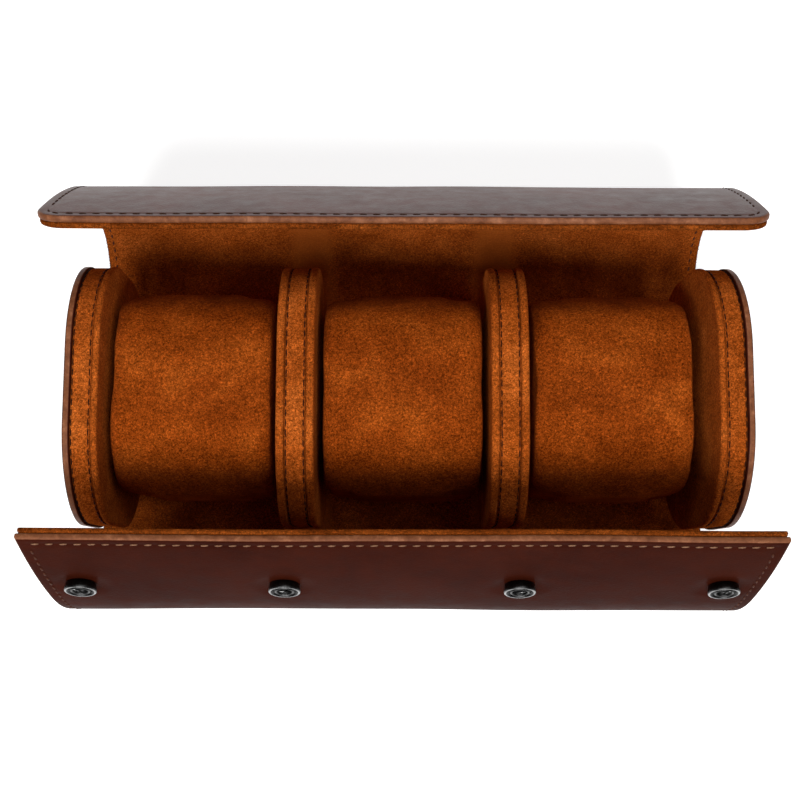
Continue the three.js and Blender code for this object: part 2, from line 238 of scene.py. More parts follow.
# %% Leather
def make_leather(name, coordinates, shine, dye_and_light):
    """Waxed leather. Shine is how strongly its surface reflects; the last argument makes its colour paler or
    darker, partly for its dye and partly as painted light.
    """
    material, tree, shader, place = start_material(name, coordinates)
    clouds = noise_at(tree, place, 38 * MM, 4.0, 0.6, 0.6)
    colour = ramp(tree, clouds, (0.30, (0.035, 0.0055, 0.0022)), (0.72, (0.056, 0.0100, 0.0042)))
    # Paler or darker colour: the dye's tone, and on the lid painted light for the sheen it catches.
    colour = mix(tree, "MULTIPLY", 1.0, colour, grey(dye_and_light))
    rubbed = noise_at(tree, place, 6 * MM, 4.0, 0.65)
    colour = vary(tree, colour, rubbed, (0.3, 0.86), (0.7, 1.14))
    pebble = add_node(tree, "TexVoronoi", Vector=place, Scale=1 / (0.75 * MM)).outputs["Distance"]
    pores = noise_at(tree, place, 0.3 * MM, 2.0, 0.6)
    colour = vary(tree, colour, pores, (0.3, 0.88), (0.7, 1.12))
    gloss = ramp(tree, rubbed, (0.25, grey(0.36)), (0.75, grey(0.50)))
    feed_node(tree, shader, Base_Color=colour, Roughness=gloss, Specular_IOR_Level=shine)
    height = math_node(tree, "ADD", pebble, math_node(tree, "MULTIPLY", pores, 0.5))
    height = math_node(tree, "ADD", height, math_node(tree, "MULTIPLY", rubbed, 1.2))
    bump(tree, shader, height, 0.06 * MM, 0.55)
    return material


def make_edge():
    """The rubbed cut edge of the leather, streaked along its length."""
    material, tree, shader, place = start_material("burnished_edge")
    streaks = noise_at(tree, place, 3 * MM, 4.0, 0.6, 0.5)
    dark, middle, light = (0.10, 0.030, 0.011), (0.175, 0.061, 0.025), (0.29, 0.118, 0.058)
    colour = ramp(tree, streaks, (0.28, dark), (0.55, middle), (0.78, light))
    specks = noise_at(tree, place, 0.5 * MM, 2.0, 0.6)
    colour = vary(tree, colour, specks, (0.3, 0.82), (0.7, 1.15))
    feed_node(tree, shader, Base_Color=colour, Roughness=0.5, Specular_IOR_Level=0.1)
    bump(tree, shader, math_node(tree, "ADD", streaks, specks), 0.08 * MM, 0.5)
    return material


# One leather in two colours: the lid's paler colour is painted light.
lid_leather = make_leather("lid_leather", "UV", shine=0.13, dye_and_light=1.65)
flap_leather = make_leather("flap_leather", "UV", shine=0.003, dye_and_light=0.68)
panel_leather = make_leather("panel_leather", "Object", shine=0.1, dye_and_light=1.0)
burnished_edge = make_edge()
print("leathers:", lid_leather.name, flap_leather.name, panel_leather.name, burnished_edge.name)

# %% [markdown]
# ## Thread, metal, board and foam
# Waxed thread is twisted, so its colour and bump run in slanting stripes. The snaps are brass plated
# nearly black; the rims' tops are painted pale, partly plating rubbed through and partly a painted
# highlight. Board and foam stay hidden inside, and still get what they are made of.

# %% Small materials
def make_thread(name, dark, light):
    material, tree, shader, place = start_material(name)
    twist = noise_at(tree, place, 0.5 * MM, 2.0, 0.5)
    colour = ramp(tree, twist, (0.3, dark), (0.7, light))
    feed_node(tree, shader, Base_Color=colour, Roughness=0.7, Specular_IOR_Level=0.08)
    bump(tree, shader, twist, 0.1 * MM, 0.6)
    return material


def make_metal(name, dark, light, roughness):
    material, tree, shader, place = start_material(name)
    wear = noise_at(tree, place, 0.9 * MM, 4.0, 0.65)
    colour = ramp(tree, wear, (0.3, grey(dark)), (0.7, grey(light)))
    spread = ramp(tree, wear, (0.2, grey(roughness)), (0.8, grey(roughness + 0.14)))
    feed_node(tree, shader, Base_Color=colour, Metallic=1.0, Roughness=spread)
    bump(tree, shader, wear, 0.02 * MM, 0.4)
    return material


def make_stuffing(name, dark, light, size):
    material, tree, shader, place = start_material(name)
    cells = noise_at(tree, place, size, 4.0, 0.7)
    feed_node(tree, shader, Base_Color=ramp(tree, cells, (0.3, dark), (0.7, light)), Roughness=0.95)
    bump(tree, shader, cells, 0.3 * MM, 0.7)
    return material


tan_thread = make_thread("tan_thread", (0.12, 0.056, 0.029), (0.23, 0.120, 0.068))
russet_thread = make_thread("russet_thread", (0.040, 0.013, 0.007), (0.080, 0.026, 0.013))
brown_thread = make_thread("brown_thread", (0.030, 0.011, 0.006), (0.075, 0.028, 0.014))
black_thread = make_thread("black_thread", (0.006, 0.0015, 0.0006), (0.026, 0.0060, 0.0016))
gunmetal = make_metal("gunmetal", 0.018, 0.045, 0.30)
# Pale metal: the springs' own, and on the rims partly wear and partly a painted highlight.
pale_metal_and_highlight = make_metal("pale_metal_and_highlight", 0.10, 0.30, 0.22)
board = make_stuffing("grey_board", (0.20, 0.17, 0.14), (0.34, 0.31, 0.26), 1.5 * MM)
foam = make_stuffing("pale_foam", (0.58, 0.52, 0.42), (0.76, 0.71, 0.60), 0.6 * MM)
print("threads, metals and stuffing ready")

# %% [markdown]
# ## The wrap's section
# The real wrap is one flat sheet that a strap-maker cuts and then lets curl. It is made the same way
# here: every piece of it is drawn flat, where sizes are easy, and then curled. This function says
# where a place on the flat sheet ends up: how far along the outer face from the middle, and how deep
# towards the inside. Each run of the section is a length with the angle that it turns through.

# %% Section
def make_side(name, direction, *runs):
    lengths = [(length * MM, math.radians(turn)) for length, turn in runs]
    return {"name": name, "direction": direction, "runs": lengths, "total": sum(l for l, _ in lengths)}


FRONT = make_side("front", -1, (33, 0), (38.75, 74), (45.8, 32), (44, 10))
BACK = make_side("back", 1, (37, 0), (35.2, 72), (46.2, 40), (45, 10))


def on_wrap(side, x, distance, depth):
    """The place in the roll of a place on the flat sheet."""
    y = z = heading = 0.0
    left = distance
    for length, turn in side["runs"]:
        step = min(left, length)
        bend = turn * step / length
        if turn == 0:
            y += step
        else:
            radius = length / turn
            y += radius * (math.sin(heading + bend) - math.sin(heading))
            z += radius * (math.cos(heading) - math.cos(heading + bend))
        heading += bend
        left -= step
        if left <= 0:
            break
    y -= depth * math.sin(heading)
    return Vector((x, side["direction"] * y, z + depth * math.cos(heading)))


for side, flap in ((FRONT, "leather_front_flap"), (BACK, "leather_lid")):
    edge, frame_top = on_wrap(side, 0, side["total"], 0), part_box(flap)[1].z
    print(side["name"], "edge at", [round(c / MM, 2) for c in edge], "frame top", round(frame_top / MM, 2))

# %% [markdown]
# ## Cutting and curling one piece of the wrap
# Each side is cut into four pieces, each over one of its four bends, with the cuts halfway between
# the bends. A bend can only be shared by two bodies, so each side is cut into four pieces, each over
# one of its four bends. A grid is divided along its edges, given its thickness with the solidify
# operator, and then each vertex is curled into place. The same step rounds the edges, lets the sheet
# ripple a little, and sinks it round the snaps and along the seams. A cut's own faces are shaded
# apart from the rest, so that two neighbours look like one sheet.

# %% Wrap values
leather_low, leather_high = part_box("leather_base")
lining_low, lining_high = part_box("lining_base")
WRAP_WIDTH = leather_high.x - leather_low.x
LINING_WIDTH = lining_high.x - lining_low.x
LEATHER = leather_high.z
WRAP = lining_high.z
LID_CORNER = 8 * MM
SEAM_INSET = 3.0 * MM  # of the stitches, from the edges
STITCH_PITCH = 3.7 * MM
EDGE_ROUND = 0.75 * MM  # how far in from an edge its rounding reaches
CELL = 1.5 * MM
EDGE_ROWS = (0.12 * MM, 0.4 * MM, EDGE_ROUND, 2.2 * MM, SEAM_INSET, 3.8 * MM)  # in from an edge
CUT_ROW = 0.15 * MM  # in from a cut
BURNISHED, RAW = 0.55 * MM, 0.4 * MM  # the widths of the leather's and the lining's edges
GLUE = 0.05 * MM  # the gap that the glue fills
RIPPLE = 0.5 * MM
SEAM_DIP, SNAP_DIP = 0.16 * MM, 0.6 * MM

snap_centres = []
for number in range(1, 5):
    low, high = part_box(f"snap_rivet_{number}")
    snap_centres.append((low.x + high.x) / 2)
SOCKET_PLACE = FRONT["total"] - 31 * MM
STUD_PLACE = BACK["total"] - 7.9 * MM
# Cuts and bends are distances along the flat sheet from the middle of the base, in millimetres.
CUTS = {"front": (0, 44, 80, 104.5, None), "back": (0, 47, 82, 109, None)}
PLACES = {
    "front": ("front_corner", "front_wall", "front_bend", "front_flap"),
    "back": ("back_corner", "back_wall", "back_bend", "lid"),
}
BENDS = {"front": (20, 68, 92, 117), "back": (22, 72, 92, 126)}
BEND_REACH = 12 * MM  # how far to each side of a bend blend_over measures; nothing uses it
FIRST_REACH = 9 * MM  # and this far towards the base at the first bend
WRAP_PIECES = []
for side in (FRONT, BACK):
    WRAP_PIECES += [(side, number, place) for number, place in enumerate(PLACES[side["name"]])]
print("wrap", round(WRAP_WIDTH / MM, 1), "mm wide, snaps at", [round(x / MM, 1) for x in snap_centres])

# %% [markdown]
# The next functions work on the flat sheet, where a seam or a rounded corner is a simple distance
# from an edge. Only the last step bends it, so no seam has to be worked out on a curve.

# %% Wrap shape
def from_edge(side, x, distance, width):
    """Distance from the sheet's free outline, which is rounded at the lid's corners."""
    across = width / 2 - abs(x)
    along = side["total"] - distance
    if side is BACK and across < LID_CORNER and along < LID_CORNER:
        return LID_CORNER - math.hypot(LID_CORNER - across, LID_CORNER - along)
    return min(across, along)


def ripple(side, x, distance):
    """The sheet's slow waves, none where it lies on the table."""
    size = RIPPLE * smoothstep(60 * MM, 120 * MM, distance)
    return size * noise.noise(Vector((x * 22, distance * 16, 3.0 + side["direction"])))


def dip(side, x, distance, width):
    """How far the leather's face is sunk along the seams and round the snaps."""
    inset = from_edge(side, x, distance, width)
    sunk = SEAM_DIP * (1 - smoothstep(0.2 * MM, 1.1 * MM, abs(inset - SEAM_INSET)))
    if side is FRONT:
        for centre in snap_centres:
            away = math.hypot(x - centre, distance - SOCKET_PLACE)
            sunk += SNAP_DIP * (1 - smoothstep(4.2 * MM, 9.5 * MM, away))
    return sunk


def divide(sheet, axis, places):
    """Cuts new rows of edges straight across the sheet."""
    for place in places:
        point, normal = Vector(), Vector()
        point[axis], normal[axis] = place, 1
        everything = sheet.verts[:] + sheet.edges[:] + sheet.faces[:]
        bmesh.ops.bisect_plane(sheet, geom=everything, dist=SAME_PLANE, plane_co=point, plane_no=normal)


def cut_sheet(side, start, end, width, outer, inner):
    """A flat piece of one layer: x across, y along the section, z the depth."""
    sheet = bmesh.new()
    columns, rows = round(width / CELL), max(3, round((end - start) / CELL))
    bmesh.ops.create_grid(sheet, x_segments=columns, y_segments=rows, size=0.5)
    bmesh.ops.scale(sheet, vec=(width, end - start, 1), verts=sheet.verts)
    bmesh.ops.translate(sheet, vec=(0, (start + end) / 2, outer), verts=sheet.verts)
    divide(sheet, 0, [sign * (width / 2 - inset) for inset in EDGE_ROWS for sign in (-1, 1)])
    if end < side["total"]:
        divide(sheet, 1, [start + CUT_ROW, end - CUT_ROW])
    else:
        turns = [math.radians(turn) for turn in (*range(32, 81, 8), 90)] if side is BACK else []
        insets = [*EDGE_ROWS, *[LID_CORNER * (1 - math.cos(turn)) for turn in turns]]
        divide(sheet, 1, [end - inset for inset in insets] + [start + CUT_ROW])
        if side is BACK:
            round_corners(sheet, end, width)
    mark_places(sheet, side)
    bmesh.ops.recalc_face_normals(sheet, faces=sheet.faces)
    bmesh.ops.solidify(sheet, geom=sheet.faces[:], thickness=-(inner - outer))
    return sheet


def round_corners(sheet, end, width):
    """Narrows the rows near the lid's free edge, so that they end on its rounded corners."""
    for vertex in sheet.verts:
        along = end - vertex.co.y
        if along < LID_CORNER:
            reach = width / 2 - LID_CORNER + math.sqrt(max(0, LID_CORNER**2 - (LID_CORNER - along) ** 2))
            vertex.co.x *= reach / (width / 2)


def mark_places(sheet, side):
    """Keeps the flat place of every corner as its UV, in metres, so that grain follows the sheet."""
    layer = sheet.loops.layers.uv.new("flat")
    for face in sheet.faces:
        for loop in face.loops:
            loop[layer].uv = (loop.vert.co.x, side["direction"] * loop.vert.co.y)


def sharpen_cuts(sheet, side):
    """Keeps a cut face's shading to itself, so that two pieces look like one sheet where they meet."""
    places = [vertex.co.y for vertex in sheet.verts]
    for cut in (min(places), max(places)):
        if abs(cut - side["total"]) < SAME_PLACE:
            continue
        for edge in sheet.edges:
            if all(abs(vertex.co.y - cut) < SAME_PLACE for vertex in edge.verts):
                edge.smooth = False


def curl(sheet, side, width, outer, inner, edge_width, dipped):
    """Rounds a flat piece's edges and bends it into its place in the roll."""
    sharpen_cuts(sheet, side)
    middle, half = (outer + inner) / 2, (inner - outer) / 2
    for face in sheet.faces:
        centre = face.calc_center_median()
        face.material_index = int(from_edge(side, centre.x, centre.y, width) < edge_width)
    for vertex in sheet.verts:
        x, distance, depth = vertex.co
        inset = min(1.0, max(0.0, from_edge(side, x, distance, width)) / EDGE_ROUND)
        height = half * (0.35 + 0.65 * math.sqrt(1 - (1 - inset) ** 2))
        outside = depth < middle
        depth = middle - height if outside else middle + height
        if outside and dipped:
            depth += dip(side, x, distance, width)
        vertex.co = on_wrap(side, x, distance, depth + ripple(side, x, distance))
    bmesh.ops.recalc_face_normals(sheet, faces=sheet.faces)


def blend_over(piece, side, number):
    """Bakes a piece's transform into its mesh; the reach of its bend is worked out but not used."""
    bend = BENDS[side["name"]][number] * MM
    start = on_wrap(side, 0, bend - (BEND_REACH if number else FIRST_REACH), WRAP)
    end = on_wrap(side, 0, bend + BEND_REACH, WRAP)
    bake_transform(piece)


def cut_ends(side, number):
    """Where a piece starts and ends along the flat sheet."""
    start, end = CUTS[side["name"]][number : number + 2]
    return start * MM, side["total"] if end is None else end * MM


# %% [markdown]
# ## Leather and lining
# The leather is 2 mm thick with burnished edges. The lining is glued behind it, and its cut edge is
# left raw. Both are cut with the same function, and each pair of base halves meets under the panels.

# %% Wrap pieces
wrap_faces = 0
for side, number, place in WRAP_PIECES:
    start, end = cut_ends(side, number)
    hide = ["leather_" + place] + (["leather_base"] if number == 0 else [])
    sheet = cut_sheet(side, start, end, WRAP_WIDTH, 0, LEATHER)
    curl(sheet, side, WRAP_WIDTH, 0, LEATHER, BURNISHED, True)
    leather = flap_leather if side is FRONT else lid_leather
    piece = make_piece("outer_" + place, sheet, leather, burnished_edge)
    blend_over(piece, side, number)
    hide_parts(*hide)
    wrap_faces += len(piece.data.polygons)

    sheet = cut_sheet(side, start, end, LINING_WIDTH, LEATHER + GLUE, WRAP)
    curl(sheet, side, LINING_WIDTH, LEATHER + GLUE, WRAP, RAW, False)
    piece = make_piece("suede_" + place, sheet, lining_suede, raw_suede)
    blend_over(piece, side, number)
    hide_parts(*[node.replace("leather", "lining") for node in hide])
    wrap_faces += len(piece.data.polygons)
print("wrap:", wrap_faces, "faces")

# %% [markdown]
# ## Raw suede edge
# Under the leather's tidy edge the lining's cut edge is a fringe of torn fibres. Each is a thin
# three-sided spike, made with the cone operator on the flat sheet and curled with it.

# %% Edge fibres
SIDE_GAP, END_GAP = 0.42 * MM, 0.30 * MM  # between fibres, up the sides and along a free edge
SIDE_WIDTH, END_WIDTH = 0.16 * MM, 0.18 * MM
FRINGE_DEPTH = LEATHER + 0.7 * MM  # about halfway through the lining


def add_fibre(fringe, place, direction, length, width):
    """One spike, thick end in the suede, pointing in a direction of the flat sheet."""
    made = bmesh.ops.create_cone(
        fringe, cap_ends=False, segments=3, radius1=width / 2, radius2=width / 8, depth=length
    )["verts"]
    turn = Vector((0, 0, 1)).rotation_difference(Vector(direction)).to_matrix()
    bmesh.ops.translate(fringe, vec=(0, 0, length * 0.3), verts=made)
    bmesh.ops.rotate(fringe, cent=(0, 0, 0), matrix=turn, verts=made)
    bmesh.ops.translate(fringe, vec=place, verts=made)


def random_at(value, seed):
    """A steady pseudo-random number from 0 to 1 for a whole number and a seed."""
    return noise.cell(Vector((value * 1.37 + 0.5, seed * 7.1 + 0.5, 0.5))) * 0.5 + 0.5


def fringe_side(side, number, seed):
    """The fibres of one piece of the lining: up both sides, and along a free edge."""
    fringe = bmesh.new()
    start, end = cut_ends(side, number)
    depth, count = FRINGE_DEPTH, round((end - start) / SIDE_GAP)
    for sign in (-1, 1):
        for i in range(count):
            distance = start + (end - start) * (i + random_at(i, seed)) / count
            if side is BACK and side["total"] - distance < LID_CORNER:
                continue
            lean = Vector((sign, random_at(i, seed + 1) - 0.5, random_at(i, seed + 2) - 0.4))
            place = (sign * LINING_WIDTH / 2, distance, depth + (random_at(i, seed + 3) - 0.5) * MM)
            add_fibre(fringe, place, lean, (0.4 + 0.5 * random_at(i, seed + 4)) * MM, SIDE_WIDTH)
    if end == side["total"]:
        reach = LINING_WIDTH / 2 - (LID_CORNER if side is BACK else 0)
        count = round(2 * reach / END_GAP)
        for i in range(count):
            x = -reach + 2 * reach * (i + random_at(i, seed + 5)) / count
            lean = Vector((random_at(i, seed + 6) - 0.5, 1, random_at(i, seed + 7) - 0.3))
            place = (x, end - 0.1 * MM, depth + (random_at(i, seed + 8) - 0.5) * MM)
            add_fibre(fringe, place, lean, (0.45 + 0.7 * random_at(i, seed + 9)) * MM, END_WIDTH)
    for vertex in fringe.verts:
        x, distance, depth = vertex.co
        ahead = min(distance, side["total"] + MM)
        vertex.co = on_wrap(side, x, ahead, depth + ripple(side, x, distance))
    return fringe


for side, number, place in WRAP_PIECES:
    fringe = fringe_side(side, number, 10 * number + side["direction"])
    piece = make_piece("fringe_" + place, fringe, raw_suede)
    blend_over(piece, side, number)
print("fringes done")

# %% [markdown]
# ## Stitching round the wrap
# A saddle stitch shows as a row of slightly slanting dashes on both faces. One stitch is a small
# flattened ball; a row of them is laid along the flat edge and curled with it. The front flap's top
# row is sewn with pale thread, and the rest with thread close to the leather's colour.

# %% Stitches
STITCH = Vector((2.4, 0.66, 0.5)) * MM  # length, width and height
SLANT = 0.12  # radians, one way outside and the other way inside
STITCH_SUNK = 0.1 * MM
BASE_SUNK, BASE_REACH = 0.27 * MM, 60 * MM  # deeper near the base, so that none stands out under it


def add_stitch(row, size, turn, place):
    """One stitch: a small flattened ball, turned to lie along its seam."""
    made = bmesh.ops.create_uvsphere(row, u_segments=6, v_segments=4, radius=0.5)["verts"]
    bmesh.ops.scale(row, vec=size, verts=made)
    bmesh.ops.rotate(row, cent=(0, 0, 0), matrix=turn, verts=made)
    bmesh.ops.translate(row, vec=place, verts=made)
    return made


def seam_path(side, start, end):
    """Places and angles of the stitches on one piece: up both sides, and along a free edge."""
    edge = WRAP_WIDTH / 2 - SEAM_INSET
    corner = LID_CORNER - SEAM_INSET if side is BACK else 0
    last = side["total"] - SEAM_INSET - corner - 0.5 * STITCH_PITCH
    count = int(side["total"] / STITCH_PITCH)
    path = []
    for i in range(count):
        distance = (i + 0.5) * STITCH_PITCH
        if start <= distance < min(end, last):
            path += [(sign * edge, distance, math.pi / 2) for sign in (-1, 1)]
    if end < side["total"]:
        return path
    reach = edge - corner
    count = round(2 * reach / STITCH_PITCH)
    for i in range(count):
        path.append((-reach + 2 * reach * (i + 0.5) / count, side["total"] - SEAM_INSET, 0))
    if corner:
        for sign in (-1, 1):
            for turn in (math.radians(25), math.radians(65)):
                x, up = reach + corner * math.sin(turn), corner * (math.cos(turn) - 1)
                path.append((sign * x, side["total"] - SEAM_INSET + up, -sign * turn))
    return path


def sew(side, number):
    """The stitches of one piece, outside and inside, curled with the sheet."""
    start, end = cut_ends(side, number)
    row = bmesh.new()
    for x, distance, angle in seam_path(side, start, end):
        sunk = BASE_SUNK if distance < BASE_REACH else STITCH_SUNK
        for depth, slant in ((sunk, SLANT), (WRAP - GLUE, -SLANT)):
            turn = Matrix.Rotation(angle + slant, 3, "Z")
            made = add_stitch(row, STITCH, turn, (x, distance, depth))
            outside = side is FRONT and depth < LEATHER
            for face in {face for vertex in made for face in vertex.link_faces}:
                face.material_index = (2 if angle else 1) if outside else 0
    for vertex in row.verts:
        x, distance, depth = vertex.co
        vertex.co = on_wrap(side, x, distance, depth + ripple(side, x, distance))
    bmesh.ops.recalc_face_normals(row, faces=row.faces)
    return row


for side, number, place in WRAP_PIECES:
    piece = make_piece("stitches_" + place, sew(side, number), brown_thread, tan_thread, russet_thread)
    blend_over(piece, side, number)
print("wrap sewn")

# %% [markdown]
# ## End panels and dividers
# Each is a sandwich: two faces with soft rims, and a narrower strip of suede round the board between
# them, set a little below the rims. A rounded rectangle comes from bevelling the four corners of one
# square; extruding it gives the plate, and bevelling its rims rolls the suede over. The strip is the
# same plate with its flat sides taken off and a wall of its own.

# %% Panels
FACE_INSET = 0.6 * MM  # a ring of small faces keeps a flat side's shading flat
STRIP_SPREAD = 0.25 * MM  # the strip reaches this far into each face
STRIP_ROLL, STRIP_WALL = 1.1 * MM, 1.0 * MM


def rounded_plate(depth, height, bottom, corner, start, end, roll):
    """A rounded rectangle in Y and Z, solid from start to end along X, with rolled rims."""
    plate = bmesh.new()
    bmesh.ops.create_grid(plate, x_segments=1, y_segments=1, size=0.5)
    bmesh.ops.scale(plate, vec=(depth, height, 1), verts=plate.verts)
    bmesh.ops.bevel(
        plate, geom=plate.verts[:], offset=corner, segments=26, profile=0.5, affect="VERTICES", material=-1
    )
    upright = Matrix(((0, 0, 1), (1, 0, 0), (0, 1, 0)))
    bmesh.ops.rotate(plate, cent=(0, 0, 0), matrix=upright, verts=plate.verts)
    bmesh.ops.translate(plate, vec=(start, 0, bottom + height / 2), verts=plate.verts)
    moved = bmesh.ops.extrude_face_region(plate, geom=plate.faces[:])["geom"]
    moved = [part for part in moved if isinstance(part, bmesh.types.BMVert)]
    bmesh.ops.translate(plate, vec=(end - start, 0, 0), verts=moved)
    bmesh.ops.recalc_face_normals(plate, faces=plate.faces)
    rims = [edge for edge in plate.edges if abs(edge.verts[0].co.x - edge.verts[1].co.x) < SAME_PLANE]
    bmesh.ops.bevel(
        plate, geom=rims, offset=roll, segments=5, profile=0.5, affect="EDGES", material=-1,
        clamp_overlap=True,
    )
    return plate


def flat_sides(plate):
    """The two large faces that a plate has across X."""
    return [face for face in plate.faces if abs(face.normal.x) > 0.999 and len(face.verts) > 8]


def panel_face(node, corner, roll):
    """A leather or suede face of a panel, as large as its node."""
    low, high = UPRIGHT[node]
    plate = rounded_plate(high.y - low.y, high.z - low.z, low.z, corner, low.x, high.x, roll)
    for flat in flat_sides(plate):
        bmesh.ops.inset_region(plate, faces=[flat], thickness=FACE_INSET)
    return plate


def panel_strip(node, corner):
    """The strip of suede between a panel's faces, a rounded band round the board."""
    low, high = UPRIGHT[node]
    start, end = low.x - STRIP_SPREAD, high.x + STRIP_SPREAD
    plate = rounded_plate(high.y - low.y, high.z - low.z, low.z, corner, start, end, STRIP_ROLL)
    bmesh.ops.delete(plate, geom=flat_sides(plate), context="FACES_ONLY")
    bmesh.ops.solidify(plate, geom=plate.faces[:], thickness=STRIP_WALL)
    return plate


print("panel tools ready")

# %% [markdown]
# The right end panel leans out a little. It is built upright, like the left one, and then turned
# about the lower edge of its outer face, as it would tip.

# %% Panel sizes
PANEL_CORNER = 29 * MM
STRIP_RECESS = 0.4 * MM
RIGHT_LEAN = math.radians(2.7)
UPRIGHT = {}
for name in ("left_divider", "right_divider", "left_end"):
    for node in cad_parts:
        if node.startswith(name):
            UPRIGHT[node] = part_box(node)
for part in ("leather", "strip", "board", "suede"):
    low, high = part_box("left_end_" + part)
    UPRIGHT["right_end_" + part] = (Vector((-high.x, low.y, low.z)), Vector((-low.x, high.y, high.z)))
foot = Vector((UPRIGHT["right_end_leather"][1].x, 0, UPRIGHT["right_end_leather"][0].z))


def lean(shape, name):
    """Tips a shape of the right end panel outwards, and leaves the others alone."""
    if name.startswith("right_end"):
        turn = Matrix.Rotation(RIGHT_LEAN, 3, "Y")
        bmesh.ops.rotate(shape, cent=foot, matrix=turn, verts=shape.verts)


print("panels", len(UPRIGHT), "nodes, foot of the leaning panel", [round(c / MM, 1) for c in foot])

# %% [markdown]
# Dark thread holds each face to the strip. Its stitches are laid by walking round the rim, so the
# seam needs a place and an outward direction for any distance from the middle of the top.

# %% Panel seams
def rim_place(depth, height, bottom, corner, distance):
    """A place round a rounded rectangle and its outward direction, from the middle of its top."""
    flat_y, flat_z, arc = depth / 2 - corner, height / 2 - corner, corner * math.pi / 2
    quarter = flat_y + arc + flat_z
    lap = distance % (4 * quarter)
    number = int(lap // quarter)
    left = lap - number * quarter
    if number % 2:
        left = quarter - left
    if left < flat_y:
        y, z, turn = left, height / 2, 0.0
    elif left < flat_y + arc:
        turn = (left - flat_y) / corner
        y, z = flat_y + corner * math.sin(turn), flat_z + corner * math.cos(turn)
    else:
        y, z, turn = depth / 2, height / 2 - corner - (left - flat_y - arc), math.pi / 2
    sign_y, sign_z = (1, 1, -1, -1)[number], (1, -1, -1, 1)[number]
    out = Vector((0, sign_y * math.sin(turn), sign_z * math.cos(turn)))
    return Vector((0, sign_y * y, sign_z * z + bottom + height / 2)), out, 4 * quarter


SEAM_STITCH = Vector((0.42, 2.5, 0.42)) * MM
SEAM_PITCH = 2.9 * MM
SEAM_SUNK = 0.12 * MM
SEAM_FROM_FACE = 0.25 * MM


def panel_seam(strip_node, at_x):
    """A ring of stitches round a strip, beside one of the two faces."""
    low, high = UPRIGHT[strip_node]
    size = (high.y - low.y, high.z - low.z, low.z, PANEL_CORNER - STRIP_RECESS)
    length = rim_place(*size, 0)[2]
    seam = bmesh.new()
    count = round(length / SEAM_PITCH)
    across = Vector((1, 0, 0))
    for i in range(count):
        place, out, _ = rim_place(*size, length * i / count)
        turn = Matrix((across, across.cross(out), out)).transposed()
        add_stitch(seam, SEAM_STITCH, turn, place + at_x * across - SEAM_SUNK * out)
    return seam


# %% [markdown]
# All four panels are made alike. Only the two ends have a leather face, with burnished rims.

# %% Panel pieces
LEATHER_ROLL, SUEDE_ROLL = 0.45 * MM, 0.85 * MM
RIM_FACING = 0.35  # a leather face whose normal leans less than this towards X is burnished rim


def finish_panel(piece, node):
    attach(piece, "case")
    if node:
        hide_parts(node)


def make_panel(name, faces):
    for part, material in faces:
        node = f"{name}_{part}"
        is_leather = part == "leather"
        plate = panel_face(node, PANEL_CORNER, LEATHER_ROLL if is_leather else SUEDE_ROLL)
        if is_leather:
            for face in plate.faces:
                face.material_index = int(abs(face.normal.x) < RIM_FACING)
        lean(plate, name)
        piece = make_piece(node + "_panel", plate, material, burnished_edge)
        finish_panel(piece, node)
    strip = panel_strip(name + "_strip", PANEL_CORNER - STRIP_RECESS)
    lean(strip, name)
    finish_panel(make_piece(name + "_gusset", strip, suede), name + "_strip")
    low, high = UPRIGHT[name + "_strip"]
    for end, at_x in (("left", low.x + SEAM_FROM_FACE), ("right", high.x - SEAM_FROM_FACE)):
        seam = panel_seam(name + "_strip", at_x)
        lean(seam, name)
        finish_panel(make_piece(f"{name}_{end}_seam", seam, black_thread), None)


end_faces = (("leather", panel_leather), ("suede", suede))
make_panel("left_end", end_faces)
make_panel("right_end", end_faces)
for divider in ("left_divider", "right_divider"):
    make_panel(divider, (("left_face", suede), ("right_face", suede)))
for name in ("left_end", "right_end", "left_divider", "right_divider"):
    repaint(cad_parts[name + "_board"], board)
print("panels done")

# %% [markdown]
# ## Pillows
# A pillow is a tube of suede with a disc sewn into each end, filled with foam. A cloth simulation
# blows the cover up like a balloon for twenty frames, which gives the full, slightly crowned faces
# that stuffing gives. It runs ten times too large, where the solver's settings are at home, and how
# far a point may move is limited, so the cover stays in its compartment. Inside it stands a block of
# foam, smaller all round, that never shows through the dents.

# %% Pillow covers
SIM_SCALE = 10.0
PRESSURE = 2.0
SWELL_ROOM = Vector((0.0, 0.5, 0.5)) * MM  # the cover starts this far inside the space it may fill
MOST_SWELL = 0.9 * MM
LAST_FRAME = 20
EVEN_FACES = 13 * MM  # the size of the faces that the cloth bends, at the simulation's scale
PILLOW_CORNER, PILLOW_ROLL = 22 * MM, 1.8 * MM
DISC_SEAM = 1.6 * MM  # from a pillow's end
SOFT_DENTS, FINE_DENTS, SEAM_PINCH = 0.8, 0.16, 0.5  # in millimetres
FILLING_ROOM = Vector((2.4, 3.2, 3.2)) * MM
FILLING_CORNER, FILLING_ROLL = 20 * MM, 2.5 * MM


def pillow_box(name):
    boxes = [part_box(f"{name}_{part}") for part in ("sleeve", "left_disc", "right_disc")]
    low = Vector([min(box[0][axis] for box in boxes) for axis in range(3)])
    high = Vector([max(box[1][axis] for box in boxes) for axis in range(3)])
    return low, high


def rounded_block(size, corner, roll):
    """A rounded plate of a given size, centred on the origin."""
    return rounded_plate(size.y, size.z, -size.z / 2, corner, -size.x / 2, size.x / 2, roll)


def pillow_start(low, high):
    """The cut cover before it is stuffed, scaled up for the simulation."""
    plate = rounded_block(high - low - 2 * SWELL_ROOM, PILLOW_CORNER, PILLOW_ROLL)
    bmesh.ops.scale(plate, vec=(SIM_SCALE,) * 3, verts=plate.verts)
    return plate


def remesh(piece):
    """Gives a shape small even faces, as cloth needs to bend."""
    modifier = piece.modifiers.new("even_faces", "REMESH")
    modifier.mode, modifier.voxel_size = "VOXEL", EVEN_FACES
    apply_modifiers(piece)


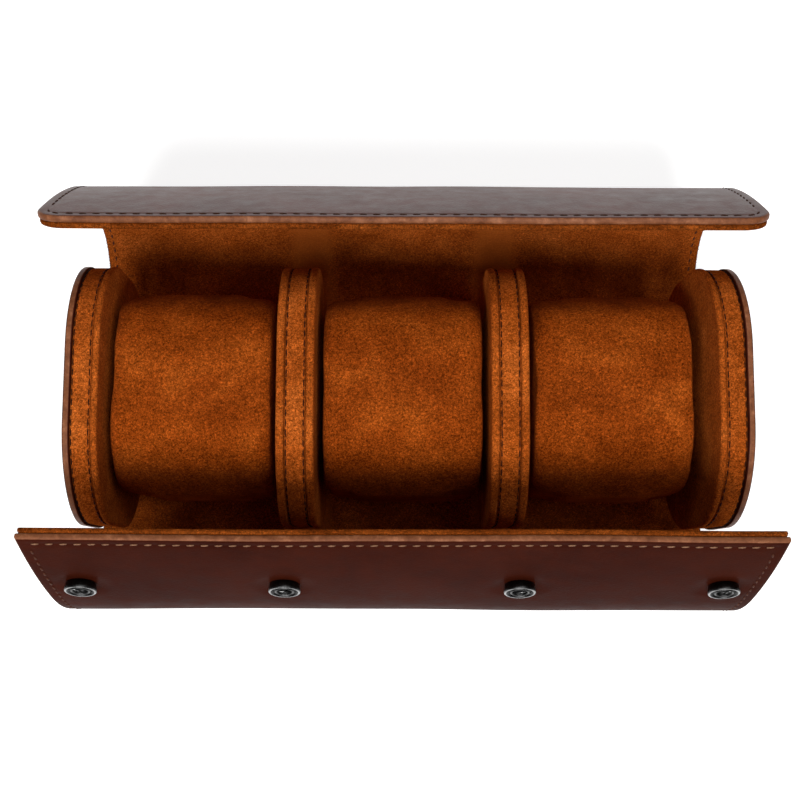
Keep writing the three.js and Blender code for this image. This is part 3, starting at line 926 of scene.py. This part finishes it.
def apply_modifiers(piece):
    settled = bpy.data.meshes.new_from_object(piece.evaluated_get(bpy.context.evaluated_depsgraph_get()))
    piece.modifiers.clear()
    old, piece.data = piece.data, settled
    bpy.data.meshes.remove(old)


def blow_up(piece):
    """Runs the cloth for twenty frames and keeps where each point ends, within its limit."""
    before = [vertex.co.copy() for vertex in piece.data.vertices]
    cloth = piece.modifiers.new("stuffing", "CLOTH")
    cloth.settings.use_pressure = True
    cloth.settings.uniform_pressure_force = PRESSURE
    cloth.settings.effector_weights.gravity = 0.0
    cloth.point_cache.frame_start, cloth.point_cache.frame_end = 1, LAST_FRAME
    for frame_number in range(1, LAST_FRAME + 1):
        bpy.context.scene.frame_set(frame_number)
    apply_modifiers(piece)
    bpy.context.scene.frame_set(1)
    limit = MOST_SWELL * SIM_SCALE
    for vertex, old in zip(piece.data.vertices, before):
        move = vertex.co - old
        if move.length > limit:
            vertex.co = old + move * (limit / move.length)


def settle(piece, low, high, seed):
    """Back to true size and place, with soft dents, a seam at each end, and inside its room."""
    centre, half = (low + high) / 2, (high - low) / 2
    normals = [vertex.normal.copy() for vertex in piece.data.vertices]
    for vertex, normal in zip(piece.data.vertices, normals):
        co = vertex.co / SIM_SCALE
        dents = SOFT_DENTS * noise.noise(co * 38 + Vector((seed, 0, 0))) + FINE_DENTS * noise.noise(co * 130)
        seam = SEAM_PINCH * (1 - smoothstep(0.3 * MM, 1.4 * MM, abs(abs(co.x) - (half.x - DISC_SEAM))))
        co = co + normal * (dents - seam) * MM
        for axis in range(3):
            co[axis] = min(half[axis], max(-half[axis], co[axis]))
        vertex.co = co + centre
    piece.data.update()


def make_filling(name, low, high):
    """The foam block, a little smaller than its cover all round."""
    block = rounded_block(high - low - 2 * FILLING_ROOM, FILLING_CORNER, FILLING_ROLL)
    bmesh.ops.translate(block, vec=(low + high) / 2, verts=block.verts)
    filling = make_piece(name + "_filling", block, foam)
    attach(filling, name)
    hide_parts(name + "_foam")


for seed, name in enumerate(("left_pillow", "middle_pillow", "right_pillow")):
    low, high = pillow_box(name)
    cover = make_piece(name + "_cover", pillow_start(low, high), pillow_suede)
    remesh(cover)
    blow_up(cover)
    settle(cover, low, high, 5.0 * seed)
    softer = cover.modifiers.new("softer", "SUBSURF")
    softer.levels = softer.render_levels = 1
    apply_modifiers(cover)
    smooth_faces(cover.data)
    repaint(cover, pillow_suede)
    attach(cover, name)
    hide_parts(*[f"{name}_{part}" for part in ("sleeve", "left_disc", "right_disc")])
    make_filling(name, low, high)
    print(name, len(cover.data.polygons), "faces, size", [round(d / MM, 1) for d in cover.dimensions])

# %% [markdown]
# ## Snap fasteners
# A snap is turned metal, so its profile is drawn once and spun. The socket has a rolled outer rim, a
# groove with a row of small beads, a raised ring round the hole, and a wire spring inside that grips
# the stud. The stud on the lid is a knob on a flange.

# %% Snaps
SPIN_STEPS = 40


def spin_profile(profile):
    """Spins [radius, height] points about Z into a closed metal body."""
    turned = bmesh.new()
    points = [turned.verts.new((radius * MM, 0, height * MM)) for radius, height in profile]
    edges = [turned.edges.new(pair) for pair in zip(points, points[1:])]
    bmesh.ops.spin(
        turned, geom=points + edges, axis=(0, 0, 1), cent=(0, 0, 0), steps=SPIN_STEPS, angle=2 * math.pi,
        use_merge=True,
    )
    bmesh.ops.remove_doubles(turned, verts=turned.verts, dist=SAME_PLACE)
    bmesh.ops.recalc_face_normals(turned, faces=turned.faces)
    return turned


def stand(shape, side, distance, x, depth, inward):
    """Turns a piece made on Z to stand on the wrap, outwards or inwards, sunk by depth."""
    place = on_wrap(side, x, distance, depth)
    out = (on_wrap(side, x, distance, depth - MM) - place).normalized()
    axis = -out if inward else out
    turn = Vector((0, 0, 1)).rotation_difference(axis).to_matrix()
    bmesh.ops.rotate(shape, cent=(0, 0, 0), matrix=turn, verts=shape.verts)
    bmesh.ops.translate(shape, vec=place, verts=shape.verts)


# Each point is a radius and a height above the wrap's face, in millimetres.
SOCKET_PROFILE = [
    (1.5, -1.7), (1.5, 0.55), (1.95, 0.55), (2.15, 0.7),  # the tube and the spring's seat
    (2.15, 1.55), (2.25, 1.8), (2.5, 1.92), (2.75, 1.8), (2.85, 1.5),  # the ring round the hole
    (3.0, 1.32), (3.45, 1.28), (3.65, 1.45),  # the groove
    (3.72, 1.75), (3.9, 1.95), (4.15, 2.0), (4.38, 1.88), (4.5, 1.6), (4.48, 1.0), (4.3, 0.6),  # the rim
    (4.25, -0.45), (1.8, -0.45), (1.8, -1.7), (1.5, -1.7),  # the underside
]
STUD_PROFILE = [
    (0, -1.4), (3.5, -1.4), (3.5, -0.8),  # the hidden head
    (1.2, -0.8), (1.2, 0.03),  # the shank
    (3.7, 0.03), (3.88, 0.15), (3.85, 0.35), (3.5, 0.5), (1.7, 0.52),  # the flange
    (1.25, 0.65), (1.2, 0.95), (1.5, 1.15), (1.5, 1.35), (1.2, 1.55), (0.6, 1.6), (0, 1.6),  # the knob
]
WORN_AND_LIT_ABOVE, WORN_AND_LIT_BEYOND = 1.86 * MM, 2.1 * MM  # the rims' tops are painted pale: partly wear, partly a painted highlight
BEADS = 22
BEAD, BEAD_CIRCLE, BEAD_HEIGHT = 0.2 * MM, 3.28 * MM, 1.33 * MM
WIRE, WIRE_LENGTH, WIRE_OFFSET, WIRE_HEIGHT = 0.17 * MM, 2.9 * MM, 1.5 * MM, 1.2 * MM


def make_socket():
    """A socket on Z, with its beads and its spring, ready to stand on the wrap."""
    socket = spin_profile(SOCKET_PROFILE)
    for face in socket.faces:
        centre = face.calc_center_median()
        radius = math.hypot(centre.x, centre.y)
        # Rim tops get the paler metal: partly wear, partly a painted highlight.
        face.material_index = int(centre.z > WORN_AND_LIT_ABOVE and radius > WORN_AND_LIT_BEYOND)
    for i in range(BEADS):
        made = bmesh.ops.create_icosphere(socket, subdivisions=1, radius=BEAD)["verts"]
        turn = 2 * math.pi * i / BEADS
        place = (BEAD_CIRCLE * math.cos(turn), BEAD_CIRCLE * math.sin(turn), BEAD_HEIGHT)
        bmesh.ops.translate(socket, vec=place, verts=made)
    for side_of_hole in (-1, 1):
        wire = bmesh.ops.create_cone(
            socket, cap_ends=True, segments=8, radius1=WIRE, radius2=WIRE, depth=WIRE_LENGTH
        )["verts"]
        bmesh.ops.rotate(socket, cent=(0, 0, 0), matrix=Matrix.Rotation(math.pi / 2, 3, "X"), verts=wire)
        bmesh.ops.translate(socket, vec=(side_of_hole * WIRE_OFFSET, 0, WIRE_HEIGHT), verts=wire)
        for face in {face for vertex in wire for face in vertex.link_faces}:
            face.material_index = 1
    return socket


for number, x in enumerate(snap_centres, 1):
    socket = make_socket()
    turn = Matrix.Rotation(math.radians(37 * number), 3, "Z")  # no two springs lie the same way
    bmesh.ops.rotate(socket, cent=(0, 0, 0), matrix=turn, verts=socket.verts)
    stand(socket, FRONT, SOCKET_PLACE, x, 0, False)
    piece = make_piece(f"snap_socket_{number}_turned", socket, gunmetal, pale_metal_and_highlight)
    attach(piece, "front_flap")
    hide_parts(f"snap_socket_{number}")

    stud = spin_profile(STUD_PROFILE)
    stand(stud, BACK, STUD_PLACE, x, WRAP, True)
    piece = make_piece(f"snap_stud_{number}_turned", stud, gunmetal)
    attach(piece, "lid")
    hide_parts(f"snap_stud_{number}")
    repaint(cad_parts[f"snap_rivet_{number}"], gunmetal)
print("snaps done")

# %% [markdown]
# ## Floor, light and camera
# A white table under soft light. The main lamp shines over the front flap, so the tops are bright
# while the gaps behind the flap and behind the pillows stay dark. A second lamp behind gives the lid
# its grey sheen. The camera looks almost straight down, a little from the front.

# %% Stage
FLOOR_GLOW = 0.55  # keeps the table nearly white in the shade
TABLE = 3.0  # metres across


def make_floor():
    ground = bmesh.new()
    bmesh.ops.create_grid(ground, x_segments=1, y_segments=1, size=TABLE / 2)
    material, tree, shader, place = start_material("white_table")
    tone = noise_at(tree, place, 0.25, 2.0, 0.5)
    colour = ramp(tree, tone, (0.3, grey(0.86)), (0.7, grey(0.89)))
    feed_node(tree, shader, Base_Color=colour, Roughness=0.7, Specular_IOR_Level=0.0)
    feed_node(tree, shader, Emission_Color=grey(1), Emission_Strength=FLOOR_GLOW)
    floor = make_piece("floor", ground, material)


def add_lamp(name, place, aim, size, power):
    """A soft rectangular lamp, turned towards its aim."""
    lamp = bpy.data.lights.new(name, "AREA")
    lamp.shape = "RECTANGLE"
    lamp.size, lamp.size_y = size
    lamp.energy = power
    holder = bpy.data.objects.new(name, lamp)
    holder.location = place
    holder.rotation_euler = (Vector(aim) - Vector(place)).to_track_quat("-Z", "Y").to_euler()
    bpy.context.scene.collection.objects.link(holder)


def light_room(brightness):
    world = bpy.data.worlds.new("room")
    world.use_nodes = True
    background = world.node_tree.nodes["Background"]
    feed_node(world.node_tree, background, Color=grey(1), Strength=brightness)
    bpy.context.scene.world = world


make_floor()
light_room(0.05)
add_lamp("over_the_flap", (-0.06, -0.42, 0.75), (0, 0.01, 0.05), (0.72, 0.24), 8.6)
add_lamp("over_and_behind", (0.05, 0.32, 0.85), (0, 0.02, 0.03), (0.7, 0.3), 2.3)
add_lamp("from_the_right", (0.30, 0.05, 0.85), (0, 0, 0.04), (0.4, 0.4), 1.1)

camera = bpy.data.objects.new("camera", bpy.data.cameras.new("camera"))
camera.data.lens = 60.1
camera.data.sensor_width = 36.0
camera.location = (-0.0006, -0.057, 0.458)
camera.rotation_euler = (math.radians(7.8), 0, math.radians(0.2))
bpy.context.scene.collection.objects.link(camera)
bpy.context.scene.camera = camera
bpy.context.scene.view_settings.view_transform = "Standard"
print("stage ready")
